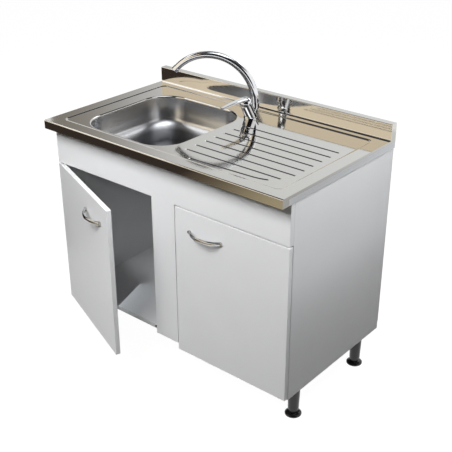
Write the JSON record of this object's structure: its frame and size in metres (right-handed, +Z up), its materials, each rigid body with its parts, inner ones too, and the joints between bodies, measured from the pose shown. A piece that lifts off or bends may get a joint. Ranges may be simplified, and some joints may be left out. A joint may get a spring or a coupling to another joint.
{
  "type": "kitchen sink unit",
  "caption": "Free-standing kitchen sink unit: pressed steel sink top with bowl, drainer and single-lever swivel tap on a two-door base cabinet with adjustable legs.",
  "frame": {"origin": "on the floor, under the middle of the worktop's width and depth", "axes": "+Z up; -Y is the front, where the doors open; +Y faces the wall behind the upstand; +X is to the right of someone facing the doors"},
  "size_m": [1, 0.7185, 1.062],
  "materials": {
    "sink_steel": "bright rolled, fine brushing",
    "waste_steel": "polished",
    "seal_rubber": "moulded",
    "waste_plastic": "moulded",
    "screw_steel": "zinc plated",
    "laminate": "satin off-white laminate on particle board",
    "hardboard": "white-faced hardboard",
    "block_plastic": "moulded",
    "leg_plastic": "glossy black",
    "hinge_steel": "nickel plated",
    "tap_chrome": "polished",
    "cartridge_plastic": "moulded",
    "tap_brass": "plain turned",
    "handle_metal": "satin chrome"
  },
  "bodies": {
    "cabinet": {"sink_top": "sink_steel", "waste_flange": "waste_steel", "waste_seal": "seal_rubber", "waste_cup": "waste_plastic", "waste_screw": "screw_steel", "side_panel_left": "laminate", "side_panel_right": "laminate", "bottom_panel": "laminate", "back_panel": "hardboard", "rear_rail": "laminate", "front_fascia": "laminate", "corner_blocks": "block_plastic", "leg_front_left": "leg_plastic", "leg_front_right": "leg_plastic", "leg_rear_left": "leg_plastic", "leg_rear_right": "leg_plastic", "leg_screws": "screw_steel", "hinge_arm_left_bottom": "hinge_steel", "hinge_arm_left_top": "hinge_steel", "hinge_arm_right_bottom": "hinge_steel", "hinge_arm_right_top": "hinge_steel", "hinge_plate_left_bottom": "hinge_steel", "hinge_plate_left_top": "hinge_steel", "hinge_plate_right_bottom": "hinge_steel", "hinge_plate_right_top": "hinge_steel", "hinge_plate_screws": "screw_steel", "door_bumpers": "seal_rubber", "tap_base_ring": "tap_chrome", "tap_body": "tap_chrome", "tap_cartridge": "cartridge_plastic", "cartridge_dome": "tap_chrome", "spout_collar": "tap_chrome", "tap_seal": "seal_rubber", "tap_clamp_plate": "screw_steel", "tap_nut": "tap_brass", "tap_stud": "tap_brass"},
    "spout": {"spout": "tap_chrome", "aerator": "tap_chrome"},
    "tap_turret": {"cartridge_turret": "cartridge_plastic"},
    "tap_lever": {"lever": "tap_chrome", "lever_stem": "tap_chrome"},
    "strainer_basket": {"strainer_basket": "waste_steel"},
    "hinge_links_left": {"hinge_link_left_bottom": "hinge_steel", "hinge_link_left_top": "hinge_steel"},
    "door_left": {"door_left": "laminate", "handle_left": "handle_metal", "handle_screws_left": "screw_steel", "hinge_cup_left_bottom": "hinge_steel", "hinge_cup_left_top": "hinge_steel"},
    "hinge_links_right": {"hinge_link_right_bottom": "hinge_steel", "hinge_link_right_top": "hinge_steel"},
    "door_right": {"door_right": "laminate", "handle_right": "handle_metal", "handle_screws_right": "screw_steel", "hinge_cup_right_bottom": "hinge_steel", "hinge_cup_right_top": "hinge_steel"},
    "foot_front_left": {"foot_front_left": "leg_plastic"},
    "foot_front_right": {"foot_front_right": "leg_plastic"},
    "foot_rear_left": {"foot_rear_left": "leg_plastic"},
    "foot_rear_right": {"foot_rear_right": "leg_plastic"}
  },
  "joints": [
    {"name": "hinge_links_left_turn", "type": "hinge", "parent": "cabinet", "child": "hinge_links_left", "pos_m": [-0.4625, -0.2295, 0.4115], "axis": [0, 0, 1], "range_deg": [-9.08, 33.02]},
    {"name": "door_left_swing", "type": "hinge", "parent": "hinge_links_left", "child": "door_left", "pos_m": [-0.48549, -0.24733, 0.4115], "axis": [0, 0, -1], "range_deg": [-30.53, 111.47]},
    {"name": "hinge_links_right_turn", "type": "hinge", "parent": "cabinet", "child": "hinge_links_right", "pos_m": [0.4625, -0.2295, 0.4115], "axis": [0, 0, -1], "range_deg": [0, 42.05]},
    {"name": "door_right_swing", "type": "hinge", "parent": "hinge_links_right", "child": "door_right", "pos_m": [0.488, -0.2435, 0.4115], "axis": [0, 0, 1], "range_deg": [0, 142]},
    {"name": "spout_swivel", "type": "hinge", "parent": "cabinet", "child": "spout", "pos_m": [0.012, 0.195, 0.88], "axis": [0, 0, 1], "range_deg": [-28, 152]},
    {"name": "lever_turn", "type": "hinge", "parent": "cabinet", "child": "tap_turret", "pos_m": [0.012, 0.147, 0.90226], "axis": [0, -0.5, 0.866], "range_deg": [-45, 45]},
    {"name": "lever_lift", "type": "hinge", "parent": "tap_turret", "child": "tap_lever", "pos_m": [0.012, 0.147, 0.90226], "axis": [-1, 0, 0], "range_deg": [0, 25]},
    {"name": "basket_lift", "type": "slide", "parent": "cabinet", "child": "strainer_basket", "axis": [0, 0, 1], "range_m": [0, 0.03]},
    {"name": "foot_front_left_height", "type": "slide", "parent": "cabinet", "child": "foot_front_left", "axis": [0, 0, -1], "range_m": [0, 0.02]},
    {"name": "foot_front_right_height", "type": "slide", "parent": "cabinet", "child": "foot_front_right", "axis": [0, 0, -1], "range_m": [0, 0.02]},
    {"name": "foot_rear_left_height", "type": "slide", "parent": "cabinet", "child": "foot_rear_left", "axis": [0, 0, -1], "range_m": [0, 0.02]},
    {"name": "foot_rear_right_height", "type": "slide", "parent": "cabinet", "child": "foot_rear_right", "axis": [0, 0, -1], "range_m": [0, 0.02]}
  ],
  "couplings": [
    {"joint": "hinge_links_left_turn", "follows": "door_left_swing", "ratio": 0.29578},
    {"joint": "hinge_links_right_turn", "follows": "door_right_swing", "ratio": 0.29578}
  ]
}
